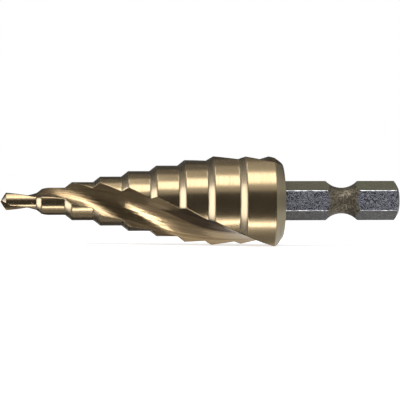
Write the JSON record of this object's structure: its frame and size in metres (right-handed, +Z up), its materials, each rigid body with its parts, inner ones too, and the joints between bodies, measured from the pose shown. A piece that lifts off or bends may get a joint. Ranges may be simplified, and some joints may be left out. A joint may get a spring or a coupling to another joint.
{
  "type": "step drill",
  "caption": "Stepped conical drill with spiral flutes, a split point and a hex quick-change shank with a detent groove; it cuts and enlarges round holes in sheet.",
  "frame": {"origin": "centre of the drill's footprint on the ground, at the ground's height, as it lies at rest", "axes": "+X along the drill from the point towards the end of the shank, +Y across it to the side facing away from the viewer, +Z up"},
  "size_m": [0.073, 0.019, 0.0166],
  "materials": {
    "drill_steel": "bronze-gold coated cutting body with bright ground lands, bare steel shank"
  },
  "bodies": {
    "root": {"step_drill": "drill_steel"}
  },
  "joints": []
}
